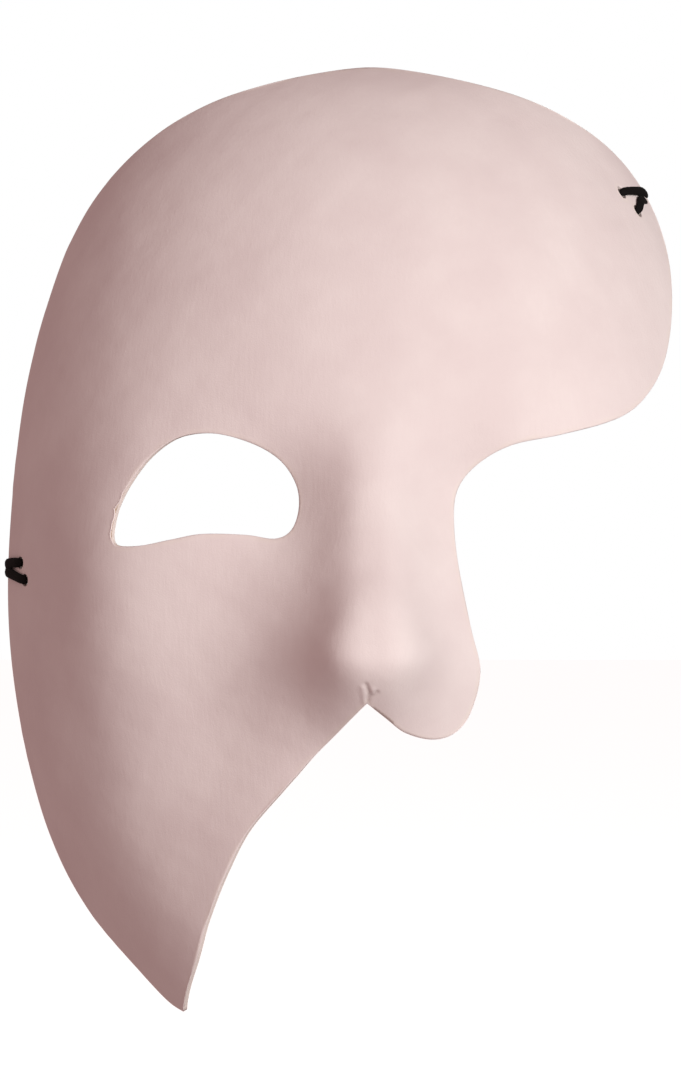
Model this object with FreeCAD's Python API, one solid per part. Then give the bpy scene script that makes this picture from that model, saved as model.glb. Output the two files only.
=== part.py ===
import FreeCAD, Part
import math
import os
from FreeCAD import Vector
from BOPTools import SplitAPI

# A half face mask of layered paper, worn on the face: full forehead, one eye opening, the
# nose and the wearer's right cheek.  Millimetres.  +Z is up and the face looks along -Y, so
# the covered cheek is on -X.  The origin is where the inside of the shell sits on the
# bridge of the wearer's nose.

# Layers of the shell, from the outside in.
COAT = 0.3                # white gesso coat
PAPER = 1.2               # layered paper under it
WALL = COAT + PAPER

# The face is a surface round an upright axis through the head.  Its level sections are
# ellipses whose width and depth follow an egg shape.
HALF_WIDTH = 97.5         # at the widest level
WIDEST_Z = -22.0
CROWN_RISE = 150.0        # the sides would close this far above the widest level
JAW_DROP = 105.0
JAW_TAPER = 0.36          # share of the width lost at the jaw
DEPTH = 88.0              # axis to forehead
BROW_Z = 10.0
DOME_RISE = 104.0         # the front would close this far above the brow
CHIN_DROP = 150.0
CHIN_SETBACK = 5.0

# Relief on that surface.  A size is how far from its middle a bump or a hollow fades.
SOCKET_DEPTH = 5.2
SOCKET_X = 24.6
SOCKET_Z = -1.1
SOCKET_SIZE = (13.0, 12.4)
HOLLOW_DEPTH = 4.0        # below the cheekbone
HOLLOW_X = 44.0
HOLLOW_Z = -67.0
HOLLOW_SIZE = (20.7, 35.0)
CHEEKBONE_LIFT = 6.2      # where the face turns its corner to the side
CHEEKBONE_ANGLE = 40.8
CHEEKBONE_Z = -25.0
CHEEKBONE_SIZE = (13.1, 42.0)
BRIDGE_CORE = 7.8         # half width of the nose's rounded top
TIP_CORE = 8.5
BRIDGE_FLANK = 5.2        # how far its sides take to fall away
TIP_FLANK = 10.4
WIDENING = (-2.0, -38.0)  # levels between which the nose grows wide
BRIDGE_LIFT = 3.6
TIP_LIFT = 21.0
NOSE_RISE = (10.0, -47.0)
NOSE_START = (26.0, 2.0)
NOSE_END = (-40.0, -70.0)
NOSE_END_SHARE = 0.95     # of the nose's lift gone under it
BALL_LIFT = 1.9           # the rounded tip
BALL_Z = -36.5
BALL_SIZE = (9.8, 13.9)
WING_LIFT = 1.7           # beside the tip
WING_X = 9.6
WING_Z = -40.0
WING_SIZE = (5.3, 6.5)

# The modelled surface covers these angles and heights, with room round the outline.
ANGLE_FROM, ANGLE_TO, ANGLE_STEPS = -84.0, 78.0, 81
Z_FROM, Z_TO, Z_STEPS = -134.0, 109.0, 81
CUT_MARGIN = 1.0          # how far the cuts reach past both faces of the wall
SPAN_STEPS = 4            # points along each span of the outline
FOREHEAD = (0.0, 50.0)    # a place well inside the outline

# The outline, as (angle round the head's axis in degrees, height): positive angles lie on
# the wearer's left.  It has two sharp corners, under the nose and at the cheek's tip.
NOTCH = (-0.7, -52.3)
CHEEK_TIP = (-41.1, -129.6)
CHEEK_EDGE = [
    NOTCH, (-4.9, -59.2), (-9.4, -65.7), (-15.0, -74.4), (-21.1, -84.0), (-25.3, -94.1),
    (-29.7, -106.1), (-33.8, -117.2), CHEEK_TIP,
]
RIM = [
    CHEEK_TIP, (-46.8, -126.8), (-57.5, -117.2), (-67.9, -107.7), (-73.3, -98.3),
    (-74.5, -87.1), (-73.1, -71.8), (-72.0, -55.5), (-71.4, -38.2), (-70.8, -20.6),
    (-70.2, -5.0), (-70.0, 10.1), (-70.2, 24.2), (-70.2, 36.3), (-70.2, 47.5), (-70.3, 59.3),
    (-68.8, 70.4), (-64.9, 79.3), (-59.7, 86.7), (-52.9, 92.9), (-42.5, 98.4), (-24.3, 103.0),
    (0.2, 105.3), (24.5, 103.0), (45.2, 98.0), (58.5, 90.8), (66.0, 82.7), (68.6, 72.7),
    (66.6, 60.8), (61.4, 47.0), (54.3, 31.7), (48.1, 23.0), (41.2, 17.1), (30.6, 12.7),
    (22.8, 10.0), (17.7, 5.4), (14.4, -1.0), (13.4, -10.0), (13.6, -20.3), (15.1, -34.0),
    (16.9, -44.9), (15.7, -54.7), (13.2, -59.7), (9.5, -61.3), (5.0, -59.6), (1.9, -55.9),
    NOTCH,
]
EYE_HOLE = [
    (-39.5, -14.4), (-35.9, -14.3), (-31.4, -12.8), (-27.0, -11.5), (-20.4, -11.7),
    (-15.8, -12.6), (-13.2, -10.8), (-12.1, -6.2), (-12.4, -0.6), (-14.4, 4.9), (-17.3, 8.6),
    (-21.2, 11.3), (-25.2, 12.8), (-29.0, 12.7), (-32.2, 11.1), (-35.6, 6.9), (-38.3, 1.1),
    (-40.1, -4.7), (-40.8, -10.0), (-40.7, -13.2),
]

# Each tie is one length of round black cord.  It is threaded out and in through two punched
# holes and twice round the rim, knotted behind it, and the rest hangs inside as a coil.
CORD_R = 1.1
HOLE_R = 1.5
KNOT_R = 3.0
COIL_R = 12.0             # middle of the coil's winding
COIL_RADIAL = 4.6         # two turns deep
COIL_AXIAL = 6.8          # three turns wide
BAND_WIDTH = 4.0
BAND_WALL = 0.7
BAND_GAP = 0.35
# Points are (angle, height, depth below the outer face), with negative depth outside.  The
# loop starts and ends in the knot and goes round the rim, out and in through the holes and
# round the rim again.
TIES = {
    "cheek": {
        "holes": [(-66.0, -18.7), (-64.4, -23.0)],
        "knot": (-68.7, -21.2, 5.5),
        "loop": [
            (-70.9, -18.9, 4.4), (-73.2, -18.4, 0.8), (-70.7, -18.6, -2.0), (-68.2, -18.7, -1.9),
            (-66.0, -18.7, -1.7), (-66.0, -18.7, 3.8), (-64.4, -23.0, 3.8), (-64.4, -23.0, -1.7),
            (-67.6, -22.3, -1.9), (-70.5, -21.5, -2.0), (-73.2, -21.5, 0.8), (-71.0, -22.8, 4.4),
        ],
        "coil_in": 6.0,
        "coil_along": -3.0,
    },
    "temple": {
        "holes": [(58.6, 73.8), (61.3, 69.3)],
        "knot": (64.9, 69.8, 5.5),
        "loop": [
            (66.9, 72.4, 4.6), (71.6, 74.0, 0.8), (67.8, 74.6, -2.5), (62.8, 74.3, -2.1),
            (58.6, 73.8, -1.7), (58.6, 73.8, 3.8), (61.3, 69.3, 3.8), (61.3, 69.3, -1.7),
            (66.8, 71.2, -2.5), (71.8, 71.0, 0.8), (68.0, 69.4, 4.6),
        ],
        "coil_in": 2.0,
        "coil_along": 5.0,
    },
}
COIL_DROP = 27.0          # knot to the middle of the coil
COIL_EDGE_ROUND = 1.0
DROP_BOW = 0.6            # how far the hanging cord bows inward
PUNCH_OUT = 3.0           # how far a punched hole's tool starts outside the wall
BEND_SHARE = 0.45         # of the shorter run taken up by a bend


def bump(distance):
    return math.exp(-distance ** 2)


def ease(start, end, value):
    share = min(1.0, max(0.0, (value - start) / (end - start)))
    return share * share * (3.0 - 2.0 * share)


def half_width(z):
    rise = max(z - WIDEST_Z, 0.0) / CROWN_RISE
    drop = max(WIDEST_Z - z, 0.0) / JAW_DROP
    return HALF_WIDTH * math.sqrt(1.0 - rise ** 2) * (1.0 - JAW_TAPER * drop ** 2)


def depth(z):
    rise = max(z - BROW_Z, 0.0) / DOME_RISE
    drop = max(BROW_Z - z, 0.0) / CHIN_DROP
    return DEPTH * math.sqrt(1.0 - rise ** 2) - CHIN_SETBACK * drop ** 2


def away(x, z, middle_x, middle_z, size):
    # Distance from a feature's middle, where 1 is its size.
    return math.hypot((x - middle_x) / size[0], (z - middle_z) / size[1])


def nose_lift(x, z):
    grown = ease(*WIDENING, z)
    core = BRIDGE_CORE + (TIP_CORE - BRIDGE_CORE) * grown
    flank = BRIDGE_FLANK + (TIP_FLANK - BRIDGE_FLANK) * grown
    ridge = BRIDGE_LIFT + (TIP_LIFT - BRIDGE_LIFT) * ease(*NOSE_RISE, z)
    ridge *= ease(*NOSE_START, z) * (1.0 - NOSE_END_SHARE * ease(*NOSE_END, z))
    rounded = (x ** 3 + core ** 3) ** (1.0 / 3.0) - core
    ball = BALL_LIFT * bump(away(x, z, 0.0, BALL_Z, BALL_SIZE) ** 2)
    return ridge * math.exp(-rounded / flank) + ball


def face_radius(angle, z):
    across = math.sin(angle) / half_width(z)
    along = math.cos(angle) / depth(z)
    radius = 1.0 / math.hypot(across, along)
    x = abs(radius * math.sin(angle))
    radius -= SOCKET_DEPTH * bump(away(x, z, SOCKET_X, SOCKET_Z, SOCKET_SIZE))
    radius -= HOLLOW_DEPTH * bump(away(x, z, HOLLOW_X, HOLLOW_Z, HOLLOW_SIZE))
    turned = abs(math.degrees(angle))
    radius += CHEEKBONE_LIFT * bump((turned - CHEEKBONE_ANGLE) / CHEEKBONE_SIZE[0]) * bump(
        (z - CHEEKBONE_Z) / CHEEKBONE_SIZE[1])
    return radius + nose_lift(x, z) + WING_LIFT * bump(away(x, z, WING_X, WING_Z, WING_SIZE))


# The head's axis stands behind the bridge of the nose, whose inside is the origin.
AXIS_Y = face_radius(0.0, 0.0) - WALL


def on_face(angle, z):
    radius = face_radius(angle, z)
    return Vector(radius * math.sin(angle), AXIS_Y - radius * math.cos(angle), z)


def outward(angle, z):
    turn, rise = 0.002, 0.2
    round_head = on_face(angle + turn, z) - on_face(angle - turn, z)
    up = on_face(angle, z + rise) - on_face(angle, z - rise)
    return round_head.cross(up).normalize()


def layer_point(angle, z, depth_in):
    return on_face(angle, z) - outward(angle, z) * depth_in


def layer_surface(depth_in):
    # A smooth surface at one depth in the wall, over the whole face and a margin round it.
    rows = []
    for step in range(ANGLE_STEPS + 1):
        angle = math.radians(ANGLE_FROM + (ANGLE_TO - ANGLE_FROM) * step / ANGLE_STEPS)
        row = []
        for level in range(Z_STEPS + 1):
            z = Z_FROM + (Z_TO - Z_FROM) * level / Z_STEPS
            row.append(layer_point(angle, z, depth_in))
        rows.append(row)
    surface = Part.BSplineSurface()
    surface.interpolate(rows)
    return surface


def smooth_line(points, steps, closed=False):
    # A smooth line through the points: each span is a cubic whose end slopes come from the
    # neighbouring points.
    count = len(points)
    spans = count if closed else count - 1
    line = []
    for span in range(spans):
        here, there = points[span], points[(span + 1) % count]
        before = points[(span - 1) % count] if closed or span > 0 else here
        after = points[(span + 2) % count] if closed or span < count - 2 else there
        for step in range(steps):
            t = step / steps
            place = []
            for axis in (0, 1):
                leave = 0.5 * (there[axis] - before[axis])
                arrive = 0.5 * (after[axis] - here[axis])
                passed = 3 * t ** 2 - 2 * t ** 3
                place.append(here[axis] + (there[axis] - here[axis]) * passed
                             + (t ** 3 - 2 * t ** 2 + t) * leave + (t ** 3 - t ** 2) * arrive)
            line.append(tuple(place))
    if not closed:
        line.append(points[-1])
    return line


def cut_face(line, closed=False):
    # The cut through the wall: a ruled face square to the surface all along the line.
    edges = []
    for depth_in in (-CUT_MARGIN, WALL + CUT_MARGIN):
        places = [layer_point(math.radians(angle), z, depth_in) for angle, z in line]
        curve = Part.BSplineCurve()
        curve.interpolate(places, PeriodicFlag=closed)
        edges.append(curve.toShape())
    return Part.makeRuledSurface(edges[0], edges[1])


def slab(outer, inner):
    # The solid between two layer surfaces.
    faces = [outer.toShape(), inner.toShape()]
    for pair in zip(faces[0].Edges, faces[1].Edges):
        faces.append(Part.makeRuledSurface(pair[0], pair[1]))
    shell = Part.makeShell(faces)
    shell.sewShape()
    return Part.makeSolid(shell)


def cord_tube(places, name):
    # A round cord along straight runs, with an arc at every bend.
    edges = []
    start = places[0]
    for here in range(1, len(places) - 1):
        corner = places[here]
        back = places[here - 1] - corner
        ahead = places[here + 1] - corner
        half_turn = 0.5 * (math.pi - back.getAngle(ahead))
        reach = BEND_SHARE * min(back.Length, ahead.Length)
        radius = reach / math.tan(half_turn)
        print(name, "bend", here, "radius", round(radius, 2))
        into = corner + back.normalize() * reach
        out = corner + ahead.normalize() * reach
        toward_centre = (back + ahead).normalize()
        middle = corner + toward_centre * (radius / math.cos(half_turn) - radius)
        edges.append(Part.LineSegment(start, into).toShape())
        edges.append(Part.Arc(into, middle, out).toShape())
        start = out
    edges.append(Part.LineSegment(start, places[-1]).toShape())
    path = Part.Wire(edges)
    direction = places[1] - places[0]
    section = Part.Wire([Part.makeCircle(CORD_R, places[0], direction)])
    tube = path.makePipeShell([section], True, True)
    print(name, "length", round(path.Length, 1), "volume over section",
          round(tube.Volume / (math.pi * CORD_R ** 2), 1))
    return tube


def route(points):
    return [layer_point(math.radians(angle), z, depth_in) for angle, z, depth_in in points]


def build_tie(side):
    # The loop round the rim, the knot behind it, the drop, the coil and the coil's band.
    tie = TIES[side]
    knot_at = route([tie["knot"]])[0]
    knot = Part.makeSphere(KNOT_R, knot_at)
    loop = cord_tube([knot_at] + route(tie["loop"]) + [knot_at], side + " loop").cut(knot)

    # The coil hangs below the knot in an upright plane along the inside of the shell.
    facing = math.radians(tie["knot"][0])
    out = Vector(math.sin(facing), -math.cos(facing), 0.0)
    along = out.cross(Vector(0, 0, 1))
    centre = knot_at - Vector(0, 0, COIL_DROP) - out * tie["coil_in"] + along * tie["coil_along"]
    back = centre - out * COIL_AXIAL / 2
    coil = Part.makeCylinder(COIL_R + COIL_RADIAL / 2, COIL_AXIAL, back, out)
    coil = coil.cut(Part.makeCylinder(COIL_R - COIL_RADIAL / 2, COIL_AXIAL, back, out))
    coil = coil.makeFillet(COIL_EDGE_ROUND, [edge for edge in coil.Edges if edge.Closed])

    top = centre + Vector(0, 0, COIL_R)
    drop = cord_tube([knot_at, (knot_at + top) * 0.5 - out * DROP_BOW, top], side + " drop")
    drop = drop.cut(knot).cut(coil)

    band = band_box(top, along, out, BAND_WIDTH, BAND_GAP + BAND_WALL)
    band = band.cut(band_box(top, along, out, 2 * BAND_WIDTH, BAND_GAP))
    band = band.cut(drop)
    return {"loop": loop, "knot": knot, "drop": drop, "coil": coil, "coil_band": band}


def band_box(middle, along, out, width, margin):
    # A block round the coil's winding, as wide as given along the winding.
    sizes = Vector(width, COIL_AXIAL + 2 * margin, COIL_RADIAL + 2 * margin)
    block = Part.makeBox(*sizes)
    block.translate(sizes * -0.5)
    axes = FreeCAD.Matrix(
        along.x, out.x, 0, middle.x,
        along.y, out.y, 0, middle.y,
        along.z, out.z, 1, middle.z,
    )
    return block.transformed(axes)


def build_shell():
    surfaces = [layer_surface(depth_in) for depth_in in (0.0, COAT, WALL)]
    outline = [cut_face(smooth_line(line, SPAN_STEPS)) for line in (RIM, CHEEK_EDGE)]
    eye = cut_face(smooth_line(EYE_HOLE, SPAN_STEPS, closed=True), closed=True)
    cuts = [Part.makeShell(outline), eye]
    forehead = Part.Vertex(layer_point(*FOREHEAD, 0.0))
    holes = []
    for tie in TIES.values():
        for angle, z in tie["holes"]:
            turned = math.radians(angle)
            start = layer_point(turned, z, -PUNCH_OUT)
            holes.append(Part.makeCylinder(HOLE_R, WALL + 2 * PUNCH_OUT, start, -outward(turned, z)))
    layers = {}
    for name, outer, inner in (("gesso_coat", 0, 1), ("paper_shell", 1, 2)):
        pieces = SplitAPI.slice(slab(surfaces[outer], surfaces[inner]), cuts, "Split", 0.0).Solids
        kept = min(pieces, key=lambda piece: piece.distToShape(forehead)[0])
        layers[name] = kept.cut(Part.makeCompound(holes))
    return layers


os.makedirs("parts", exist_ok=True)
nodes = build_shell()
for side in TIES:
    for name, shape in build_tie(side).items():
        nodes[side + "_tie_" + name] = shape
for name, shape in nodes.items():
    shape.exportStep("parts/" + name + ".step")
    print(name, shape.isValid(), len(shape.Solids), round(shape.Volume, 1), shape.BoundBox)
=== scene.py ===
import math

import bpy
import numpy as np
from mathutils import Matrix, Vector
from mathutils.geometry import delaunay_2d_cdt
from mathutils.kdtree import KDTree


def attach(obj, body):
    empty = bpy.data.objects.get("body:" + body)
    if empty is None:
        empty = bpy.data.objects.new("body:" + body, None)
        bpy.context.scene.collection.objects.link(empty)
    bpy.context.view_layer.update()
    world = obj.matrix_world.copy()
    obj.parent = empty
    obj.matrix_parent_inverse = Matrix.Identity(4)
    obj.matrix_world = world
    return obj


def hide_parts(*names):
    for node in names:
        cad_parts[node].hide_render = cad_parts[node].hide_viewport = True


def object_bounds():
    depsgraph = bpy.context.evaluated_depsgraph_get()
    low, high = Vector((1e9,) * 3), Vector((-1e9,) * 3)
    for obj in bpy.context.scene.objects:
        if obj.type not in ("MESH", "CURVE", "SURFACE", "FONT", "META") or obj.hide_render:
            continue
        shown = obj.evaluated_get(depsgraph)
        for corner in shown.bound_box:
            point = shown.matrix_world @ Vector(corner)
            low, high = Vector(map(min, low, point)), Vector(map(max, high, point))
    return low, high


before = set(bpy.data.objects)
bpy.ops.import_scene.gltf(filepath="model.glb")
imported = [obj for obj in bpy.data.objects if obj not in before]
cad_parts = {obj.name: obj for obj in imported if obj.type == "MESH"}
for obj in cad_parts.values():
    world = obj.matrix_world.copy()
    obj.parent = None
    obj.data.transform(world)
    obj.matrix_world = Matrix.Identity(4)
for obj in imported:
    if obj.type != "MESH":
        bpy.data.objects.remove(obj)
cad_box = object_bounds()

# The face is worked out in millimetres with the part's own formulas: a point on it is an
# (angle round the head's axis, height) pair and a depth below the outer face.
MM = 0.001
COAT = 0.3
PAPER = 1.2
WALL = COAT + PAPER

HALF_WIDTH = 97.5         # at the widest level
WIDEST_Z = -22.0
CROWN_RISE = 150.0        # the sides would close this far above the widest level
JAW_DROP = 105.0
JAW_TAPER = 0.36          # share of the width lost at the jaw
DEPTH = 88.0              # axis to forehead
BROW_Z = 10.0
DOME_RISE = 104.0         # the front would close this far above the brow
CHIN_DROP = 150.0
CHIN_SETBACK = 5.0

# Relief on that surface.  A size is how far from its middle a bump or a hollow fades.
SOCKET_DEPTH = 5.2
SOCKET_X = 24.6
SOCKET_Z = -1.1
SOCKET_SIZE = (13.0, 12.4)
HOLLOW_DEPTH = 4.0        # below the cheekbone
HOLLOW_X = 44.0
HOLLOW_Z = -67.0
HOLLOW_SIZE = (20.7, 35.0)
CHEEKBONE_LIFT = 6.2      # where the face turns its corner to the side
CHEEKBONE_ANGLE = 40.8
CHEEKBONE_Z = -25.0
CHEEKBONE_SIZE = (13.1, 42.0)
BRIDGE_CORE = 7.8         # half width of the nose's rounded top
TIP_CORE = 8.5
BRIDGE_FLANK = 5.2        # how far its sides take to fall away
TIP_FLANK = 10.4
WIDENING = (-2.0, -38.0)  # levels between which the nose grows wide
BRIDGE_LIFT = 3.6
TIP_LIFT = 21.0
NOSE_RISE = (10.0, -47.0)
NOSE_START = (26.0, 2.0)
NOSE_END = (-40.0, -70.0)
NOSE_END_SHARE = 0.95     # of the nose's lift gone under it
BALL_LIFT = 1.9           # the rounded tip
BALL_Z = -36.5
BALL_SIZE = (9.8, 13.9)
WING_LIFT = 1.7           # beside the tip
WING_X = 9.6
WING_Z = -40.0
WING_SIZE = (5.3, 6.5)

NOTCH = (-0.7, -52.3)
CHEEK_TIP = (-41.1, -129.6)
CHEEK_EDGE = [
    NOTCH, (-4.9, -59.2), (-9.4, -65.7), (-15.0, -74.4), (-21.1, -84.0), (-25.3, -94.1),
    (-29.7, -106.1), (-33.8, -117.2), CHEEK_TIP,
]
RIM = [
    CHEEK_TIP, (-46.8, -126.8), (-57.5, -117.2), (-67.9, -107.7), (-73.3, -98.3),
    (-74.5, -87.1), (-73.1, -71.8), (-72.0, -55.5), (-71.4, -38.2), (-70.8, -20.6),
    (-70.2, -5.0), (-70.0, 10.1), (-70.2, 24.2), (-70.2, 36.3), (-70.2, 47.5), (-70.3, 59.3),
    (-68.8, 70.4), (-64.9, 79.3), (-59.7, 86.7), (-52.9, 92.9), (-42.5, 98.4), (-24.3, 103.0),
    (0.2, 105.3), (24.5, 103.0), (45.2, 98.0), (58.5, 90.8), (66.0, 82.7), (68.6, 72.7),
    (66.6, 60.8), (61.4, 47.0), (54.3, 31.7), (48.1, 23.0), (41.2, 17.1), (30.6, 12.7),
    (22.8, 10.0), (17.7, 5.4), (14.4, -1.0), (13.4, -10.0), (13.6, -20.3), (15.1, -34.0),
    (16.9, -44.9), (15.7, -54.7), (13.2, -59.7), (9.5, -61.3), (5.0, -59.6), (1.9, -55.9),
    NOTCH,
]
EYE_HOLE = [
    (-39.5, -14.4), (-35.9, -14.3), (-31.4, -12.8), (-27.0, -11.5), (-20.4, -11.7),
    (-15.8, -12.6), (-13.2, -10.8), (-12.1, -6.2), (-12.4, -0.6), (-14.4, 4.9), (-17.3, 8.6),
    (-21.2, 11.3), (-25.2, 12.8), (-29.0, 12.7), (-32.2, 11.1), (-35.6, 6.9), (-38.3, 1.1),
    (-40.1, -4.7), (-40.8, -10.0), (-40.7, -13.2),
]

CORD_R = 1.1
HOLE_R = 1.5
KNOT_R = 3.0
COIL_R = 12.0
COIL_RADIAL = 4.6
COIL_AXIAL = 6.8
COIL_DROP = 27.0
DROP_BOW = 0.6            # how far the hanging cord bows inward
COIL_TURNS = 5.5
BAND_WIDTH = 4.0
BAND_WALL = 0.7
BAND_GAP = 0.35
TIES = {
    "cheek": {
        "holes": [(-66.0, -18.7), (-64.4, -23.0)],
        "knot": (-68.7, -21.2, 5.5),
        "loop": [
            (-70.7, -18.9, 4.4), (-71.5, -19.1, 0.8), (-70.2, -19.0, -0.8), (-68.2, -18.7, -0.7),
            (-66.0, -18.6, -0.5), (-66.0, -18.7, 3.4), (-64.4, -23.0, 3.4), (-64.4, -23.0, -0.5),
            (-67.6, -21.7, -0.7), (-70.2, -20.9, -0.8), (-71.5, -21.1, 0.8), (-70.8, -22.2, 4.4),
        ],
        "thinned": 0.05,
        "coil_in": 6.0,
        "coil_along": -3.0,
    },
    "temple": {
        "holes": [(58.6, 73.8), (61.3, 69.3)],
        "knot": (64.9, 69.8, 5.5),
        "loop": [
            (66.9, 72.4, 4.6), (69.4, 73.7, 0.8), (67.5, 74.1, -0.8), (62.8, 74.0, -0.7),
            (58.6, 73.8, -0.5), (58.6, 73.8, 3.4), (61.3, 69.3, 3.4), (61.3, 69.2, -0.5),
            (63.6, 72.1, -0.8), (69.3, 72.3, 0.8), (68.0, 69.8, 4.6),
        ],
        "thinned": 0.12,
        "coil_in": 2.0,
        "coil_along": 5.0,
    },
}

# How fine the meshes are.
GRID = 1.25               # between points over the face
FINE_GRID = 0.4           # around the fold and the chipped eye corner
RIM_STEP = 1.0            # along the outlines
MM_PER_DEGREE = 1.5       # round the head, about
EDGE_ROUND = 0.3          # radius of the outline's edges


# ---------------------------------------------------------------- the face's formulas

def bump(distance):
    return np.exp(-distance ** 2)


def ease(start, end, value):
    share = np.clip((value - start) / (end - start), 0.0, 1.0)
    return share * share * (3.0 - 2.0 * share)


def half_width(z):
    rise = np.maximum(z - WIDEST_Z, 0.0) / CROWN_RISE
    drop = np.maximum(WIDEST_Z - z, 0.0) / JAW_DROP
    return HALF_WIDTH * np.sqrt(1.0 - rise ** 2) * (1.0 - JAW_TAPER * drop ** 2)


def depth(z):
    rise = np.maximum(z - BROW_Z, 0.0) / DOME_RISE
    drop = np.maximum(BROW_Z - z, 0.0) / CHIN_DROP
    return DEPTH * np.sqrt(1.0 - rise ** 2) - CHIN_SETBACK * drop ** 2


def away(x, z, middle_x, middle_z, size):
    # Distance from a feature's middle, where 1 is its size.
    return np.hypot((x - middle_x) / size[0], (z - middle_z) / size[1])


def nose_lift(x, z):
    grown = ease(*WIDENING, z)
    core = BRIDGE_CORE + (TIP_CORE - BRIDGE_CORE) * grown
    flank = BRIDGE_FLANK + (TIP_FLANK - BRIDGE_FLANK) * grown
    ridge = BRIDGE_LIFT + (TIP_LIFT - BRIDGE_LIFT) * ease(*NOSE_RISE, z)
    ridge = ridge * ease(*NOSE_START, z) * (1.0 - NOSE_END_SHARE * ease(*NOSE_END, z))
    rounded = (x ** 3 + core ** 3) ** (1.0 / 3.0) - core
    ball = BALL_LIFT * bump(away(x, z, 0.0, BALL_Z, BALL_SIZE) ** 2)
    return ridge * np.exp(-rounded / flank) + ball


def face_radius(angle, z):
    across = np.sin(angle) / half_width(z)
    along = np.cos(angle) / depth(z)
    radius = 1.0 / np.hypot(across, along)
    x = np.abs(radius * np.sin(angle))
    radius = radius - SOCKET_DEPTH * bump(away(x, z, SOCKET_X, SOCKET_Z, SOCKET_SIZE))
    radius = radius - HOLLOW_DEPTH * bump(away(x, z, HOLLOW_X, HOLLOW_Z, HOLLOW_SIZE))
    turned = np.abs(np.degrees(angle))
    radius = radius + CHEEKBONE_LIFT * bump((turned - CHEEKBONE_ANGLE) / CHEEKBONE_SIZE[0]) * bump(
        (z - CHEEKBONE_Z) / CHEEKBONE_SIZE[1])
    return radius + nose_lift(x, z) + WING_LIFT * bump(away(x, z, WING_X, WING_Z, WING_SIZE))


AXIS_Y = float(face_radius(np.float64(0.0), np.float64(0.0))) - WALL


def on_face(angle, z):
    radius = face_radius(angle, z)
    return np.stack([radius * np.sin(angle), AXIS_Y - radius * np.cos(angle), z], axis=-1)


def outward(angle, z):
    turn, rise = 0.002, 0.2
    round_head = on_face(angle + turn, z) - on_face(angle - turn, z)
    up = on_face(angle, z + rise) - on_face(angle, z - rise)
    normal = np.cross(round_head, up)
    return normal / np.linalg.norm(normal, axis=-1, keepdims=True)


def layer_points(flat, depth_in):
    # flat is an array of (millimetres round the head, height) pairs.
    angle = np.radians(flat[:, 0] / MM_PER_DEGREE)
    z = flat[:, 1]
    return on_face(angle, z) - outward(angle, z) * np.asarray(depth_in)[..., None]


def flat_place(angle, z):
    return (angle * MM_PER_DEGREE, z)


# ---------------------------------------------------------------- outlines and noise

def smooth_line(points, steps, closed=False):
    # Cubic spans whose end slopes come from the neighbouring points.
    count = len(points)
    line = []
    for span in range(count if closed else count - 1):
        here, there = np.array(points[span]), np.array(points[(span + 1) % count])
        before = np.array(points[(span - 1) % count]) if closed or span > 0 else here
        after = np.array(points[(span + 2) % count]) if closed or span < count - 2 else there
        leave, arrive = 0.5 * (there - before), 0.5 * (after - here)
        for step in range(steps):
            t = step / steps
            line.append((2 * t ** 3 - 3 * t ** 2 + 1) * here + (t ** 3 - 2 * t ** 2 + t) * leave
                        + (3 * t ** 2 - 2 * t ** 3) * there + (t ** 3 - t ** 2) * arrive)
    if not closed:
        line.append(np.array(points[-1]))
    return np.array(line)


def even_line(line, spacing, closed=False):
    # The same line with evenly spaced points; an open line leaves out its last point.
    if closed:
        line = np.vstack([line, line[:1]])
    lengths = np.concatenate([[0.0], np.cumsum(np.linalg.norm(np.diff(line, axis=0), axis=1))])
    count = max(8, round(lengths[-1] / spacing))
    places = np.linspace(0.0, lengths[-1], count, endpoint=False)
    return np.stack([np.interp(places, lengths, line[:, axis]) for axis in (0, 1)], axis=1)


def flat_line(points, closed=False):
    line = smooth_line([flat_place(*point) for point in points], 16, closed)
    return even_line(line, RIM_STEP, closed)


def shell_loops():
    # The outline and the holes as closed loops, each with the wall's material on its left.
    outline = np.vstack([flat_line(RIM), flat_line(CHEEK_EDGE)])
    loops = {"outline": outline, "eye": flat_line(EYE_HOLE, closed=True)}
    for side, tie in TIES.items():
        for number, (angle, z) in enumerate(tie["holes"], start=1):
            turn = np.linspace(0.0, 2.0 * math.pi, 20, endpoint=False)
            middle = np.array(flat_place(angle, z))
            loops[f"{side}_{number}"] = middle + HOLE_R * np.stack([np.cos(turn), np.sin(turn)], axis=1)
    for name, loop in loops.items():
        turns_left = signed_area(loop) > 0.0
        if turns_left != (name == "outline"):
            loops[name] = loop[::-1].copy()
    return loops


def signed_area(loop):
    ahead = np.roll(loop, -1, axis=0)
    return 0.5 * float(np.sum(loop[:, 0] * ahead[:, 1] - loop[:, 1] * ahead[:, 0]))


LONGEST_MITRE = 2.5


def inset(loop, distance):
    # Moves each point of a loop to its left, into the material, with mitred corners.
    ahead = np.roll(loop, -1, axis=0) - loop
    ahead /= np.linalg.norm(ahead, axis=1, keepdims=True)
    back = np.roll(ahead, 1, axis=0)
    left = np.stack([-(ahead + back)[:, 1], (ahead + back)[:, 0]], axis=1)
    left /= np.linalg.norm(left, axis=1, keepdims=True)
    own = np.stack([-ahead[:, 1], ahead[:, 0]], axis=1)
    mitre = np.minimum(1.0 / np.maximum(np.sum(left * own, axis=1), 0.1), LONGEST_MITRE)
    return loop + left * (np.asarray(distance) * mitre)[:, None]


def inside(loop, points):
    # Even-odd test of many points against one closed loop.
    hit = np.zeros(len(points), dtype=bool)
    ahead = np.roll(loop, -1, axis=0)
    for (x0, z0), (x1, z1) in zip(loop, ahead):
        if z0 == z1:
            continue
        spans = (points[:, 1] < z0) != (points[:, 1] < z1)
        hit ^= spans & (points[:, 0] < x0 + (points[:, 1] - z0) * (x1 - x0) / (z1 - z0))
    return hit


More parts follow.
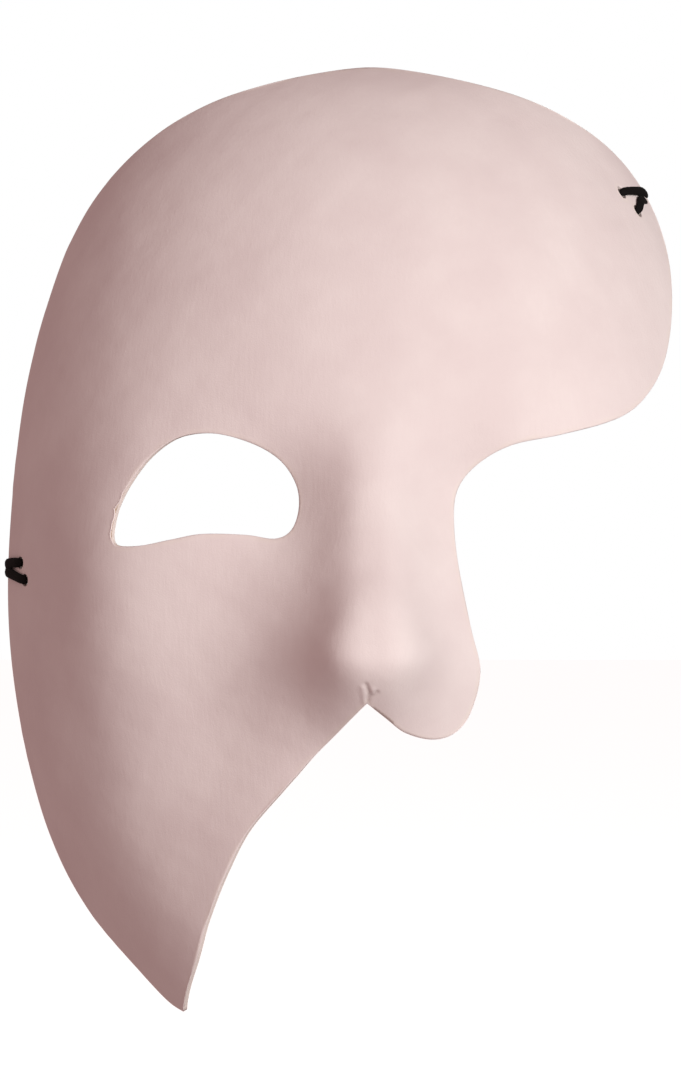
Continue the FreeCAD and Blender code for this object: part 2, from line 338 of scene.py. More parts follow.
def in_material(loops, points):
    keep = inside(loops["outline"], points)
    for name, loop in loops.items():
        if name != "outline":
            keep &= ~inside(loop, points)
    return keep


WAVES = 14
WAVE_SPREAD = (0.8, 1.6)  # shortest and longest wave, as shares of the size asked for
WAVE_PEAK = 1.4           # a high crest of the sum, which becomes 1


def waves(points, size, seed):
    # Smooth noise of about the given size, between -1 and 1: a sum of seeded sine waves.
    draw = np.random.default_rng(seed)
    total = np.zeros(len(points))
    for _ in range(WAVES):
        direction = draw.normal(size=points.shape[1])
        direction *= 2.0 * math.pi / (size * draw.uniform(*WAVE_SPREAD) * np.linalg.norm(direction))
        total += np.sin(points @ direction + draw.uniform(0.0, 2.0 * math.pi))
    return np.clip(total / math.sqrt(WAVES) / WAVE_PEAK, -1.0, 1.0)


def distance_to(tree_points, points):
    tree = KDTree(len(tree_points))
    for number, place in enumerate(tree_points):
        tree.insert((place[0], place[1], 0.0), number)
    tree.balance()
    return np.array([tree.find((x, z, 0.0))[2] for x, z in points])


# ---------------------------------------------------------------- the shell's two layers

FOLD = flat_place(*NOTCH)
EYE_CORNER = flat_place(-39.8, -8.0)
SCAR = flat_place(-9.5, -55.0)
SPECKS = ((flat_place(-17.0, 92.2), 0.35), (flat_place(-72.3, -71.8), 0.4))
JITTER = 0.08             # how far grid points are moved, as a share of their spacing
RINGS = (0.75, 1.5)       # distances from every edge to the rings of points along it
RING_CLEAR = 0.85         # least distance to other edges, as a share of the ring's own
GRID_CLEAR = 2.1          # least distance from an edge to the even grid
FINE_CLEAR = 0.5
ZONE_MARGIN = 0.3
FINE_ZONES = ((FOLD, (6.0, 6.5)), (EYE_CORNER, (5.0, 10.0)))


def hex_grid(low, high, spacing):
    # Rows of points in a triangle pattern, each moved a little: the triangulation goes wrong
    # where many points lie exactly in line.
    row = spacing * math.sqrt(3.0) / 2.0
    rows = np.arange(low[1], high[1], row)
    points = []
    for number, z in enumerate(rows):
        x = np.arange(low[0] + (number % 2) * spacing / 2.0, high[0], spacing)
        points.append(np.stack([x, np.full(len(x), z)], axis=1))
    points = np.vstack(points)
    return points + np.random.default_rng(3).uniform(-JITTER, JITTER, points.shape) * spacing


def face_points(loops):
    # Points over the face between the loops: rings near every edge, finer near two details.
    outline = loops["outline"]
    low, high = outline.min(axis=0), outline.max(axis=0)
    edges = np.vstack(list(loops.values()))
    rings = []
    for distance in RINGS:
        ring = np.vstack([inset(loop, np.full(len(loop), distance)) for loop in loops.values()])
        rings.append(ring[distance_to(edges, ring) > RING_CLEAR * distance])
    coarse = hex_grid(low, high, GRID)
    coarse = coarse[in_material(loops, coarse)]
    coarse = coarse[distance_to(edges, coarse) > GRID_CLEAR]
    fine = []
    for middle, reach in FINE_ZONES:
        patch = hex_grid(np.array(middle) - reach, np.array(middle) + reach, FINE_GRID)
        patch = patch[in_material(loops, patch)]
        fine.append(patch[distance_to(edges, patch) > FINE_CLEAR])
        for group in (coarse, *rings):
            near = np.all(np.abs(group - np.array(middle)) < np.array(reach) + ZONE_MARGIN, axis=1)
            group[near] = np.nan
    groups = [group[~np.isnan(group[:, 0])] for group in (coarse, *rings)]
    return np.vstack(groups + fine)


def triangulate(loops, points):
    # Triangles between the loops, as indices into the loops' points followed by the others.
    places = np.vstack(list(loops.values()) + [points])
    edges = []
    start = 0
    for loop in loops.values():
        count = len(loop)
        edges += [(start + here, start + (here + 1) % count) for here in range(count)]
        start += count
    made = delaunay_2d_cdt([Vector(place) for place in places], edges, [], 0, 1e-6)
    if len(made[0]) != len(places):
        raise RuntimeError("the triangulation merged or added points")
    faces = np.array(made[2])
    return places, faces[in_material(loops, places[faces].mean(axis=1))]


def sheet_mesh(name, loops, inner_loops, points, profile, top, bottom):
    # A closed sheet.  Its two faces share one triangulation inside inner_loops; its walls run
    # from there out to the loops and back, along profile's (share outward, depth) pairs.
    places, faces = triangulate(inner_loops, points)
    count = len(places)
    vertices = [top(places), bottom(places)]
    triangles = [faces, faces[:, ::-1] + count]
    quads = []
    start, base = 0, 2 * count
    for key, loop in loops.items():
        inner = inner_loops[key]
        size = len(loop)
        here = np.arange(size)
        ahead = (here + 1) % size
        above = start + np.stack([here, ahead], axis=1)
        for share, depth_in in profile:
            ring = inner + (loop - inner) * share
            vertices.append(layer_points(ring, np.full(size, depth_in)))
            below = base + np.stack([here, ahead], axis=1)
            quads.append(np.column_stack([above[:, 0], below[:, 0], below[:, 1], above[:, 1]]))
            above = below
            base += size
        below = count + start + np.stack([here, ahead], axis=1)
        quads.append(np.column_stack([above[:, 0], below[:, 0], below[:, 1], above[:, 1]]))
        start += size
    mesh = bpy.data.meshes.new(name)
    shape = np.vstack(vertices) * MM
    mesh.from_pydata(shape.tolist(), [], [*np.vstack(triangles).tolist(), *np.vstack(quads).tolist()])
    mesh.shade_smooth()
    mesh.update()
    return mesh, places


def quarter_round(depth_from, depth_to, steps):
    # From the inner loop at depth_from out to the edge at depth_to.
    turns = [math.pi / 2.0 * step / steps for step in range(1, steps + 1)]
    return [(math.sin(turn), depth_from + (depth_to - depth_from) * (1.0 - math.cos(turn))) for turn in turns]


def segment_distance(points, start, end):
    start, end = np.array(start), np.array(end)
    along = np.clip(((points - start) @ (end - start)) / float((end - start) @ (end - start)), 0.0, 1.0)
    return np.linalg.norm(points - start - along[:, None] * (end - start), axis=1)


# Creases and raised lips of the fold, as the ends of straight runs measured from the notch.
CREASES = (((-0.2, 4.8), (0.5, 2.6)), ((0.5, 2.6), (0.1, 0.6)), ((2.0, 3.0), (0.5, 1.7)))
CREASE_DEPTH = 0.36
CREASE_SIZE = 0.38
LIPS = (((-0.9, 4.2), (-0.5, 0.4)), ((1.3, 3.6), (1.1, 2.7)))
LIP_HEIGHT = 0.22
LIP_SIZE = 0.5
NOTCH_STAIN = ((1.2, -0.9), (5.5, -4.6))
NOTCH_STAIN_SIZE = 0.32


def fold_relief(places):
    # The pinched fold above the notch: creases that meet, and raised lips beside them.
    off = places - np.array(FOLD)
    height = np.zeros(len(places))
    for start, end in CREASES:
        height = np.minimum(height, -CREASE_DEPTH * bump(segment_distance(off, start, end) / CREASE_SIZE))
    for start, end in LIPS:
        height += LIP_HEIGHT * bump(segment_distance(off, start, end) / LIP_SIZE)
    return height


SWELL = (0.10, 17.0)      # height and size of the coat's slow unevenness
RIPPLE = (0.035, 5.5)
SCAR_HEIGHT = 0.30
SCAR_SIZE = 0.6


def coat_relief(places):
    # Unevenness of hand-laid paper under the coat, and the marks on it.
    solid = layer_points(places, np.zeros(len(places)))
    height = SWELL[0] * waves(solid, SWELL[1], 11) + RIPPLE[0] * waves(solid, RIPPLE[1], 12)
    height += fold_relief(places)
    scar = places - np.array(SCAR)
    height += SCAR_HEIGHT * bump(np.linalg.norm(scar - (0.5, 0.6), axis=1) / SCAR_SIZE)
    height -= SCAR_HEIGHT * bump(np.linalg.norm(scar, axis=1) / SCAR_SIZE)
    return height


STRIPS = 90
STRIP_EDGE = 1.6          # how gently a strip's torn edge ends
STRIP_STEP = 0.16


def strip_layers(places):
    # Torn paper strips on the inside: a height and a shade for each point.
    draw = np.random.default_rng(5)
    low, high = places.min(axis=0), places.max(axis=0)
    height = np.zeros(len(places))
    shade = np.full(len(places), 0.5)
    ragged = 1.2 * waves(places, 5.0, 21) + 0.6 * waves(places, 2.4, 22)
    for _ in range(STRIPS):
        middle = low + (high - low) * draw.uniform(size=2)
        turn = draw.normal(0.0, 0.5) + (math.pi / 2.0 if draw.uniform() < 0.35 else 0.0)
        half = np.array([draw.uniform(9.0, 15.0), draw.uniform(22.0, 40.0)])
        off = places - middle
        across = off[:, 0] * math.cos(turn) + off[:, 1] * math.sin(turn)
        along = off[:, 1] * math.cos(turn) - off[:, 0] * math.sin(turn)
        reach = np.minimum(half[0] - np.abs(across), half[1] - np.abs(along)) + ragged
        cover = ease(0.0, STRIP_EDGE, reach)
        height += cover * (draw.uniform(-0.5, 1.0) * STRIP_STEP - height)
        shade += cover * (draw.uniform(0.0, 1.0) - shade)
    return height, shade


def set_attribute(mesh, name, values):
    layer = mesh.attributes.new(name, "FLOAT", "POINT")
    full = np.zeros(len(mesh.vertices), np.float32)
    full[:len(values)] = values
    layer.data.foreach_set("value", full)


CHIP_DEPTH = 0.9
CHIP_REACH = (3.5, 7.0)
CHIP_SIZE = 2.6


def eye_chipping(loop):
    # How far the coat has chipped back from the eye hole's outer corner, point by point.
    off = (loop - np.array(EYE_CORNER)) / np.array(CHIP_REACH)
    near = bump(off[:, 0]) * bump(off[:, 1])
    ragged = 0.5 + 0.5 * waves(loop, CHIP_SIZE, 31)
    return CHIP_DEPTH * near * ragged ** 1.5


def build_coat(loops):
    outer = dict(loops)
    chipped = eye_chipping(loops["eye"])
    outer["eye"] = inset(loops["eye"], chipped)
    inner = {key: inset(loop, np.full(len(loop), EDGE_ROUND)) for key, loop in outer.items()}
    points = face_points(outer)

    def top(places):
        return layer_points(places, -coat_relief(places))

    def bottom(places):
        return layer_points(places, np.full(len(places), COAT - 0.03) - np.minimum(coat_relief(places), 0.0))

    profile = quarter_round(0.0, COAT - 0.05, 4)
    mesh, places = sheet_mesh("gesso_coat_painted", outer, inner, points, profile, top, bottom)
    edges = np.vstack(list(outer.values()))
    near_edge = distance_to(edges, places)
    set_attribute(mesh, "wear", ease(1.6, 0.2, near_edge) * (0.6 + 0.4 * waves(places, 6.0, 41)))
    off = places - np.array(FOLD)
    stain = 0.7 * bump(segment_distance(off, *NOTCH_STAIN) / NOTCH_STAIN_SIZE)
    for place, size in SPECKS:
        stain = np.maximum(stain, bump(np.linalg.norm(places - np.array(place), axis=1) / size))
    set_attribute(mesh, "stain", stain)
    # painted shade: the fold's creases get darker in colour the deeper they are
    set_attribute(mesh, "crease_shade", np.clip(-fold_relief(places) / 0.5, 0.0, 1.0))
    return mesh


def build_paper(loops):
    inner = {key: inset(loop, np.full(len(loop), EDGE_ROUND)) for key, loop in loops.items()}
    points = face_points(loops)

    def top(places):
        return layer_points(places, np.full(len(places), COAT) - np.minimum(coat_relief(places), 0.0))

    def bottom(places):
        return layer_points(places, WALL - 0.1 + strip_layers(places)[0])

    layers = [(0.94, COAT), (1.0, COAT + 0.06)]
    for number in range(5):
        step = (PAPER - 0.5) / 5.0
        start = COAT + 0.1 + number * step
        layers += [(0.97, start), (1.0, start + 0.3 * step), (1.0, start + 0.8 * step)]
    rounded = quarter_round(WALL, WALL - EDGE_ROUND, 4)[::-1]
    mesh, places = sheet_mesh("paper_shell_layered", loops, inner, points, layers + rounded, top, bottom)
    shade = strip_layers(places)[1]
    set_attribute(mesh, "strip_shade", np.concatenate([np.full(len(places), 0.5), shade]))
    edge = np.ones(len(mesh.vertices))
    edge[:2 * len(places)] = 0.0
    set_attribute(mesh, "edge", edge)
    return mesh


# ---------------------------------------------------------------- ties

def route(points):
    flat = np.array([flat_place(angle, z) for angle, z, _ in points])
    return layer_points(flat, np.array([depth_in for _, _, depth_in in points]))


def tie_axes(side):
    # The knot, the coil's centre, and the coil's own directions: along it, up, and its axis.
    tie = TIES[side]
    knot_at = route([tie["knot"]])[0]
    facing = math.radians(tie["knot"][0])
    out = np.array([math.sin(facing), -math.cos(facing), 0.0])
    up = np.array([0.0, 0.0, 1.0])
    along = np.cross(out, up)
    centre = knot_at - up * COIL_DROP - out * tie["coil_in"] + along * tie["coil_along"]
    return knot_at, centre, along, up, out


COIL_POINTS = 16          # in each turn
COIL_WANDER = (0.1, 0.08)  # how uneven the turns are, along the coil's radius and its axis


def coil_turns(side):
    # Three turns side by side, then as many as are left round them, each a little uneven.
    _, centre, along, up, out = tie_axes(side)
    draw = np.random.default_rng(7 if side == "cheek" else 8)
    gap = 2.0 * CORD_R
    points = []
    for step in range(round(COIL_TURNS * COIL_POINTS) + 1):
        turn = step / COIL_POINTS
        whole = math.floor(turn)
        shift = float(ease(0.75, 1.0, turn - whole))
        column = min(whole + shift, 2.0) if whole < 3 else max(5.0 - whole - shift, 0.0)
        if whole == 2:
            column = 2.0
        layer = 0.0 if whole < 2 else (shift if whole == 2 else 1.0)
        radius = COIL_R - gap / 2.0 + gap * layer + draw.uniform(-COIL_WANDER[0], COIL_WANDER[0])
        across = (column - 1.0) * gap + draw.uniform(-COIL_WANDER[1], COIL_WANDER[1])
        angle = math.pi / 2.0 - 2.0 * math.pi * turn
        forth, rise = radius * math.cos(angle), radius * math.sin(angle)
        points.append(centre + along * forth + up * rise + out * across)
    return points


def nurbs_line(name, points):
    # Points read from a smooth NURBS line with the given control points, in millimetres.
    curve = bpy.data.curves.new(name, "CURVE")
    curve.dimensions = "3D"
    curve.resolution_u = 12
    spline = curve.splines.new("NURBS")
    spline.points.add(len(points) - 1)
    for point, place in zip(spline.points, points):
        point.co = (*(np.array(place) * MM), 1.0)
    spline.order_u = 3
    spline.use_endpoint_u = True
    holder = bpy.data.objects.new(name, curve)
    bpy.context.scene.collection.objects.link(holder)
    bpy.context.view_layer.update()
    mesh = bpy.data.meshes.new_from_object(holder)
    line = np.array([vertex.co[:] for vertex in mesh.vertices]) / MM
    bpy.data.objects.remove(holder)
    bpy.data.curves.remove(curve)
    bpy.data.meshes.remove(mesh)
    return line


def even_space(line, spacing):
    lengths = np.concatenate([[0.0], np.cumsum(np.linalg.norm(np.diff(line, axis=0), axis=1))])
    places = np.linspace(0.0, lengths[-1], max(4, round(lengths[-1] / spacing)))
    return np.stack([np.interp(places, lengths, line[:, axis]) for axis in range(3)], axis=1)


BRAID_SIDES = 24
BRAID_STRANDS = 6
BRAID_PITCH = 1.7
BRAID_DEPTH = 0.13
BRAID_STEP = 0.3          # along the cord
CORD_END = 0.9            # over which a cut end rounds off
PRESSED_FLAT = 0.5        # share of the cord's thickness left where it is pulled on to the face
PRESSED_WIDE = 0.2        # share of its width added there
SQUEEZED = 0.28           # share of its section lost in the wall's thickness
THINNED_REACH = 4.5       # how far from a hole the cord is still thinned by it


def pressed(line):
    # The shell's outward direction at each point, how far the cord is pressed flat against it
    # and the share of the cord's section left.
    angle = np.arctan2(line[:, 0], AXIS_Y - line[:, 1])
    normal = outward(angle, line[:, 2])
    depth_in = np.sum((on_face(angle, line[:, 2]) - line) * normal, axis=1)
    section = 1.0 - SQUEEZED * bump((depth_in - 0.9) / 0.9)
    for tie in TIES.values():
        for hole in route([(*hole, 0.0) for hole in tie["holes"]]):
            section *= 1.0 - tie["thinned"] * bump(np.linalg.norm(line - hole, axis=1) / THINNED_REACH)
    return normal, ease(1.6, 0.2, depth_in), section


def braided_cord(name, line, closed=False):
    # A tube along the line whose surface is a braid of crossing strands, in millimetres.
    line = even_space(line, BRAID_STEP)
    ahead = np.gradient(line, axis=0)
    ahead /= np.linalg.norm(ahead, axis=1, keepdims=True)
    side = np.cross(ahead[0], (0.3, 0.5, 0.81))
    sides = []
    for direction in ahead:
        side = side - direction * float(side @ direction)
        side = side / np.linalg.norm(side)
        sides.append(side)
    sides = np.array(sides)
    others = np.cross(ahead, sides)
    count = len(line)
    arc = np.arange(count)[:, None] * BRAID_STEP
    turn = (np.arange(BRAID_SIDES) * 2.0 * math.pi / BRAID_SIDES)[None, :]
    one = np.abs(np.sin(turn * BRAID_STRANDS / 2.0 + math.pi * arc / BRAID_PITCH))
    other = np.abs(np.sin(turn * BRAID_STRANDS / 2.0 - math.pi * arc / BRAID_PITCH))
    radius = CORD_R - BRAID_DEPTH + BRAID_DEPTH * np.maximum(one, other) ** 0.7 * 1.2
    if not closed:
        ends = np.minimum(np.arange(count), np.arange(count)[::-1])[:, None] * BRAID_STEP
        inward = np.clip(ends / CORD_END, 0.0, 1.0)
        radius = radius * np.sqrt(np.clip(1.0 - (1.0 - inward) ** 2, 0.02, 1.0))
    off = (sides[:, None, :] * (radius * np.cos(turn))[..., None]
           + others[:, None, :] * (radius * np.sin(turn))[..., None])
    normal, share, section = pressed(line)
    wide = 1.0 + PRESSED_WIDE * share
    flattened = wide - PRESSED_FLAT * share - (1.0 - share)
    lift = np.sum(off * normal[:, None, :], axis=2) * flattened[:, None]
    off = off * wide[:, None, None] - normal[:, None, :] * lift[..., None]
    shape = line[:, None, :] + off * section[:, None, None]
    vertices = shape.reshape(-1, 3)
    ring = np.arange(BRAID_SIDES)
    ahead_ring = (ring + 1) % BRAID_SIDES
    faces = []
    for row in range(count if closed else count - 1):
        here, there = row * BRAID_SIDES, ((row + 1) % count) * BRAID_SIDES
        faces += np.column_stack([here + ring, here + ahead_ring, there + ahead_ring, there + ring]).tolist()
    if not closed:
        faces.append(ring[::-1].tolist())
        faces.append((ring + (count - 1) * BRAID_SIDES).tolist())
    mesh = bpy.data.meshes.new(name)
    mesh.from_pydata((vertices * MM).tolist(), [], faces)
    mesh.shade_smooth()
    return mesh


def knot_line(side):
    # A trefoil pulled tight about the knot's place.
    knot_at, _, along, up, out = tie_axes(side)
    turns = np.linspace(0.0, 2.0 * math.pi, 120, endpoint=False)
    size = (KNOT_R - CORD_R) / 3.0
    x = size * (np.sin(turns) + 2.0 * np.sin(2.0 * turns))
    y = size * (np.cos(turns) - 2.0 * np.cos(2.0 * turns))
    z = -1.5 * size * np.sin(3.0 * turns)
    return knot_at + x[:, None] * along + y[:, None] * up + z[:, None] * out


def rounded_ring(half_x, half_z, corner, count):
    # Points round a rectangle with rounded corners.
    points = []
    per_corner = count // 4
    for number in range(4):
        middle = ((half_x - corner) * (1, -1, -1, 1)[number], (half_z - corner) * (1, 1, -1, -1)[number])
        for step in range(per_corner):
            turn = math.pi / 2.0 * (number + step / (per_corner - 1))
            points.append((middle[0] + corner * math.cos(turn), middle[1] + corner * math.sin(turn)))
    return points


BAND_RIBS = 4
RIB_HEIGHT = 0.06
BAND_POINTS = 64          # round the band
BAND_CORNER = 1.6


def band_mesh(side):
    # A ribbed elastic band round the coil's winding, with soft edges.
    _, centre, along, up, out = tie_axes(side)
    top = centre + up * COIL_R
    section = []
    for step in range(41):
        share = -1.0 + 2.0 * step / 40.0
        edge = math.sqrt(max(0.0, 1.0 - max(0.0, (abs(share) - 0.86) / 0.14) ** 2))
        rib = RIB_HEIGHT * abs(math.sin(math.pi * BAND_RIBS * (share + 1.0) / 2.0))
        section.append((share * BAND_WIDTH / 2.0, BAND_WALL / 2.0 * (0.15 + 0.85 * edge) + rib * edge))
    profile = section + [(place, -lift) for place, lift in reversed(section)]
    middle_x = COIL_AXIAL / 2.0 + BAND_GAP + BAND_WALL / 2.0
    middle_z = COIL_RADIAL / 2.0 + BAND_GAP + BAND_WALL / 2.0
    count = BAND_POINTS
    path = rounded_ring(middle_x, middle_z, BAND_CORNER, count)
    vertices, faces = [], []
    for here in range(count):
        before, after = path[here - 1], path[(here + 1) % count]
        normal = np.array([after[1] - before[1], before[0] - after[0]])
        normal /= np.linalg.norm(normal)
        for place, lift in profile:
            x = path[here][0] + normal[0] * lift
            z = path[here][1] + normal[1] * lift
            vertices.append(top + out * x + up * z + along * place)
    size = len(profile)
    for here in range(count):
        there = (here + 1) % count
        for step in range(size):
            ahead = (step + 1) % size
            faces.append((here * size + step, here * size + ahead, there * size + ahead, there * size + step))
    mesh = bpy.data.meshes.new(side + "_band")
    mesh.from_pydata((np.array(vertices) * MM).tolist(), [], faces)
    mesh.shade_smooth()
    return mesh


# ---------------------------------------------------------------- materials

def new_material(name):
    material = bpy.data.materials.new(name)
    material.use_nodes = True
    tree = material.node_tree
    return material, tree, tree.nodes["Principled BSDF"]


def add(tree, kind, **values):
    node = tree.nodes.new(kind)
    for key, value in values.items():
        if hasattr(node, key):
            setattr(node, key, value)
        else:
            node.inputs[key.replace("_", " ")].default_value = value
    return node


def noise(tree, scale, detail=3.0, stretch=(1.0, 1.0, 1.0), roughness=0.5):
    # Noise with scale in cycles per millimetre.
    place = add(tree, "ShaderNodeTexCoord")
    mapping = add(tree, "ShaderNodeMapping")
    mapping.inputs["Scale"].default_value = [value / MM for value in stretch]
    node = add(tree, "ShaderNodeTexNoise", Scale=scale, Detail=detail, Roughness=roughness)
    tree.links.new(place.outputs["Object"], mapping.inputs["Vector"])
    tree.links.new(mapping.outputs["Vector"], node.inputs["Vector"])
    return node.outputs["Fac"]


def ramp(tree, source, stops):
    node = add(tree, "ShaderNodeValToRGB")
    elements = node.color_ramp.elements
    while len(elements) < len(stops):
        elements.new(0.5)
    for element, (place, colour) in zip(elements, stops):
        element.position = place
        element.color = (*colour, 1.0)
    tree.links.new(source, node.inputs["Fac"])
    return node.outputs["Color"]


def mix(tree, share, first, second):
    node = add(tree, "ShaderNodeMix", data_type="RGBA")
    for name, value in (("Factor", share), ("A", first), ("B", second)):
        socket = [s for s in node.inputs if s.name == name and s.enabled][0]
        if isinstance(value, bpy.types.NodeSocket):
            tree.links.new(value, socket)
        else:
            socket.default_value = value if name == "Factor" else (*value, 1.0)
    return [s for s in node.outputs if s.enabled][0]


def attribute(tree, name):
    return add(tree, "ShaderNodeAttribute", attribute_name=name).outputs["Fac"]


def scaled(tree, source, factor, offset=0.0):
    node = add(tree, "ShaderNodeMath", operation="MULTIPLY_ADD")
    tree.links.new(source, node.inputs[0])
    node.inputs[1].default_value = factor
    node.inputs[2].default_value = offset
    return node.outputs[0]


def bumps(tree, shader, layers):
    # Stacked bumps: (height source, how far it stands out in millimetres).
    last = None
    for source, height in layers:
        node = add(tree, "ShaderNodeBump", Strength=1.0)
        node.inputs["Distance"].default_value = height * MM
        tree.links.new(source, node.inputs["Height"])
        if last is not None:
            tree.links.new(last, node.inputs["Normal"])
        last = node.outputs["Normal"]
    tree.links.new(last, shader.inputs["Normal"])


GESSO = (0.84, 0.755, 0.735)
GESSO_SHADE = (0.79, 0.695, 0.68)
PAPER_TONE = (0.74, 0.62, 0.48)
PAPER_PALE = (0.86, 0.78, 0.66)
PAPER_FIBRE = (0.60, 0.48, 0.35)
PAPER_FLECK = (0.34, 0.25, 0.18)
# colour of the real stains and specks, also used for the painted shade in the fold's creases
STAIN_AND_CREASE_SHADE = (0.16, 0.075, 0.05)
CORD_DEEP = (0.002, 0.0018, 0.0018)
CORD_WORN = (0.009, 0.007, 0.007)
RUBBER = (0.018, 0.018, 0.019)
RUBBER_DUST = (0.05, 0.047, 0.045)


def gesso_material():
    material, tree, shader = new_material("gesso")
    blotches = noise(tree, 0.045, detail=4.0)
    streaks = noise(tree, 1.1, detail=3.0, stretch=(1.0, 1.0, 0.13))
    grain = noise(tree, 2.6, detail=2.0)
    colour = ramp(tree, blotches, ((0.36, GESSO_SHADE), (0.62, GESSO)))
    colour = mix(tree, scaled(tree, streaks, 0.5, -0.1), colour, GESSO_SHADE)
    colour = mix(tree, scaled(tree, attribute(tree, "wear"), 0.3), colour, PAPER_PALE)
    # painted shade in the fold's creases, darkened towards the stain colour by their depth
    colour = mix(tree, scaled(tree, attribute(tree, "crease_shade"), 0.4), colour, STAIN_AND_CREASE_SHADE)
    colour = mix(tree, attribute(tree, "stain"), colour, STAIN_AND_CREASE_SHADE)
    tree.links.new(colour, shader.inputs["Base Color"])
    tree.links.new(scaled(tree, grain, 0.2, 0.66), shader.inputs["Roughness"])
    shader.inputs["Specular IOR Level"].default_value = 0.3
    bumps(tree, shader, ((streaks, 0.045), (grain, 0.04), (noise(tree, 0.35, detail=2.0), 0.04)))
    return material


def paper_material():
    material, tree, shader = new_material("layered_paper")
    fibres = noise(tree, 1.5, detail=4.0, stretch=(1.0, 1.0, 0.5), roughness=0.65)
    specks = noise(tree, 0.9, detail=1.0)
    colour = mix(tree, attribute(tree, "strip_shade"), PAPER_TONE, PAPER_PALE)
    colour = mix(tree, scaled(tree, fibres, 0.7, -0.15), colour, PAPER_FIBRE)
    flecks = ramp(tree, specks, ((0.70, (0.0, 0.0, 0.0)), (0.76, (1.0, 1.0, 1.0))))
    colour = mix(tree, flecks, colour, PAPER_FLECK)
    colour = mix(tree, scaled(tree, attribute(tree, "edge"), 0.75), colour, GESSO)
    tree.links.new(colour, shader.inputs["Base Color"])
    shader.inputs["Roughness"].default_value = 0.9
    shader.inputs["Specular IOR Level"].default_value = 0.2
    bumps(tree, shader, ((fibres, 0.09), (noise(tree, 0.3, detail=3.0), 0.15)))
    return material


def cord_material():
    material, tree, shader = new_material("black_cord")
    fibres = noise(tree, 9.0, detail=3.0)
    colour = ramp(tree, fibres, ((0.3, CORD_DEEP), (0.75, CORD_WORN)))
    tree.links.new(colour, shader.inputs["Base Color"])
    shader.inputs["Roughness"].default_value = 0.8
    shader.inputs["Specular IOR Level"].default_value = 0.12
    shader.inputs["Sheen Weight"].default_value = 0.02
    shader.inputs["Sheen Roughness"].default_value = 0.5
    bumps(tree, shader, ((fibres, 0.03),))
    return material


def rubber_material():
    material, tree, shader = new_material("black_rubber")
    dust = noise(tree, 1.2, detail=4.0)
    colour = ramp(tree, dust, ((0.35, RUBBER), (0.8, RUBBER_DUST)))
    tree.links.new(colour, shader.inputs["Base Color"])
    tree.links.new(scaled(tree, dust, 0.3, 0.4), shader.inputs["Roughness"])
    bumps(tree, shader, ((noise(tree, 6.0), 0.015),))
    return material


# ---------------------------------------------------------------- assembly

def place_piece(mesh, name, material, slot, *nodes):
    piece = bpy.data.objects.new(name, mesh)
    bpy.context.scene.collection.objects.link(piece)
    mesh.materials.append(material)
    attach(piece, "root")
    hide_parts(*nodes)
    return piece


CAMERA_DISTANCE = 1.5
CAMERA_X = -0.0076
CAMERA_Z = -0.013
FRAME_HEIGHT = 0.2608     # of what the camera sees at its distance


def add_camera():
    data = bpy.data.cameras.new("camera")
    data.sensor_width = 36.0
    data.lens = data.sensor_width * CAMERA_DISTANCE / FRAME_HEIGHT
    data.clip_end = 50.0
    camera = bpy.data.objects.new("camera", data)
    forehead_y = (AXIS_Y - DEPTH) * MM
    camera.location = (CAMERA_X, forehead_y - CAMERA_DISTANCE, CAMERA_Z)
    camera.rotation_euler = (math.pi / 2.0, 0.0, 0.0)
    bpy.context.scene.collection.objects.link(camera)
    bpy.context.scene.camera = camera


CORD_STEP = 0.6           # between points taken along a cord's line


def make_ties():
    cord_look, rubber_look = cord_material(), rubber_material()
    for side, tie in TIES.items():
        prefix = side + "_tie_"
        knot_at, centre, along, up, out = tie_axes(side)
        start = knot_at - out * 2.0 + along * 1.0
        drop = knot_at * 0.5 + (centre + up * COIL_R) * 0.5 - out * DROP_BOW
        controls = [start, knot_at, *route(tie["loop"]), knot_at, drop, *coil_turns(side)]
        line = nurbs_line(prefix + "line", controls)
        knot = place_piece(braided_cord(prefix + "knot_tied", knot_line(side), closed=True),
                           prefix + "knot_tied", cord_look, "black_cord", prefix + "knot")
        band = place_piece(band_mesh(side), prefix + "coil_band_ribbed", rubber_look, "band",
                           prefix + "coil_band")
        cord = place_piece(braided_cord(prefix + "cord", line), prefix + "cord", cord_look,
                           "black_cord", prefix + "loop", prefix + "drop", prefix + "coil")
        (even_space(line, CORD_STEP) * MM).tolist()


def make_shell():
    loops = shell_loops()
    place_piece(build_coat(loops), "gesso_coat_painted", gesso_material(), "gesso", "gesso_coat")
    place_piece(build_paper(loops), "paper_shell_layered", paper_material(), "layered_paper", "paper_shell")


FLOOR_GAP = 0.028
FLOOR_HALF = 6.0
FLOOR_GLOW = 0.8          # keeps the white floor as bright as the white behind it


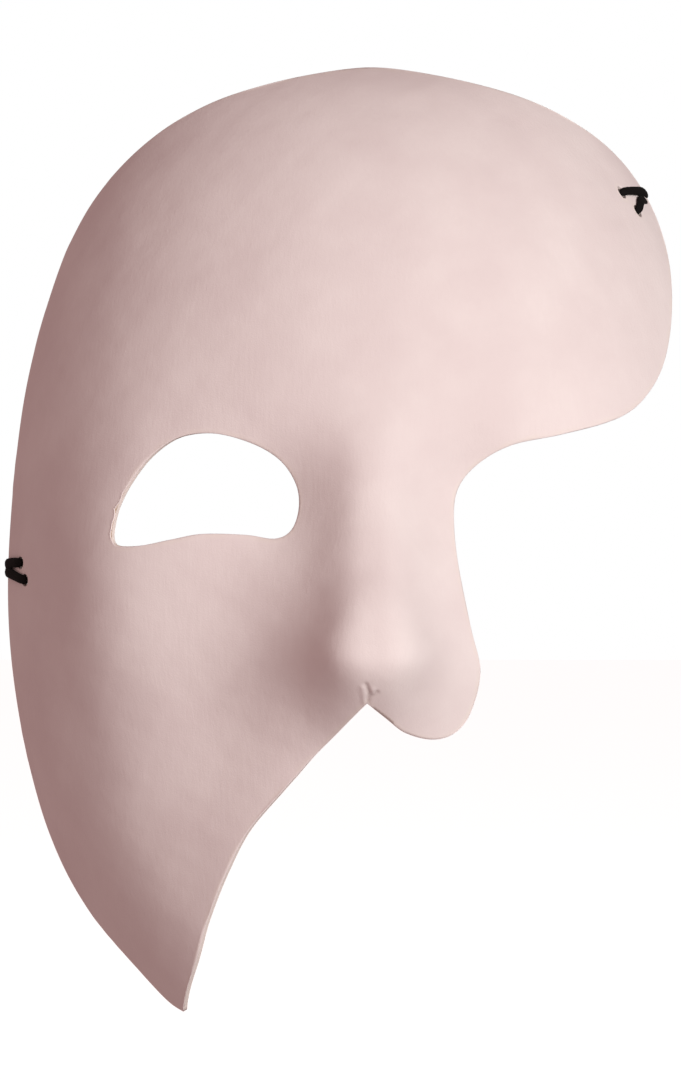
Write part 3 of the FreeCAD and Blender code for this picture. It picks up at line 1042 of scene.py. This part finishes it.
def make_stage():
    floor_z = cad_box[0][2] - FLOOR_GAP
    corners = [(-1, -1), (1, -1), (1, 1), (-1, 1)]
    mesh = bpy.data.meshes.new("floor")
    mesh.from_pydata([(x * FLOOR_HALF, y * FLOOR_HALF, floor_z) for x, y in corners], [], [(0, 1, 2, 3)])
    floor = bpy.data.objects.new("floor", mesh)
    bpy.context.scene.collection.objects.link(floor)
    material, _, shader = new_material("floor")
    shader.inputs["Base Color"].default_value = (0.9, 0.9, 0.9, 1.0)
    shader.inputs["Roughness"].default_value = 0.9
    shader.inputs["Emission Color"].default_value = (1.0, 1.0, 1.0, 1.0)
    shader.inputs["Emission Strength"].default_value = FLOOR_GLOW
    mesh.materials.append(material)
    floor.visible_diffuse = False
    floor.visible_glossy = False


AMBIENT = (0.274, 0.188, 0.184)
AMBIENT_SIDE = 0.8        # how much brighter it is from the wearer's right


def make_world():
    # White behind the object; a soft, slightly warm light from everywhere on it.
    world = bpy.data.worlds.new("studio")
    world.use_nodes = True
    tree = world.node_tree
    background = tree.nodes["Background"]
    seen = add(tree, "ShaderNodeLightPath")
    place = add(tree, "ShaderNodeTexCoord")
    parts = add(tree, "ShaderNodeSeparateXYZ")
    tree.links.new(place.outputs["Generated"], parts.inputs["Vector"])
    from_right = scaled(tree, parts.outputs["X"], -0.5, 0.5)
    dim, bright = [tuple(value * (1.0 + side * AMBIENT_SIDE) for value in AMBIENT) for side in (-1, 1)]
    around = mix(tree, from_right, dim, bright)
    colour = mix(tree, seen.outputs["Is Camera Ray"], around, (1.0, 1.0, 1.0))
    tree.links.new(colour, background.inputs["Color"])
    bpy.context.scene.world = world
    bpy.context.scene.view_settings.view_transform = "Standard"


KEY_DIRECTION = (0.69, -1.0, 0.09)
KEY_DISTANCE = 2.2
KEY_SIZE = 0.9
KEY_POWER = 54.0
KEY_COLOUR = (1.0, 0.968, 0.953)


def add_light(name, direction, distance, size, power, colour):
    data = bpy.data.lights.new(name, "AREA")
    data.shape = "SQUARE"
    data.size = size
    data.energy = power
    data.color = colour
    light = bpy.data.objects.new(name, data)
    aim = Vector(direction).normalized()
    light.location = aim * distance
    light.rotation_euler = aim.to_track_quat("Z", "Y").to_euler()
    bpy.context.scene.collection.objects.link(light)


add_camera()
make_ties()
make_shell()
make_stage()
make_world()
add_light("key", KEY_DIRECTION, KEY_DISTANCE, KEY_SIZE, KEY_POWER, KEY_COLOUR)
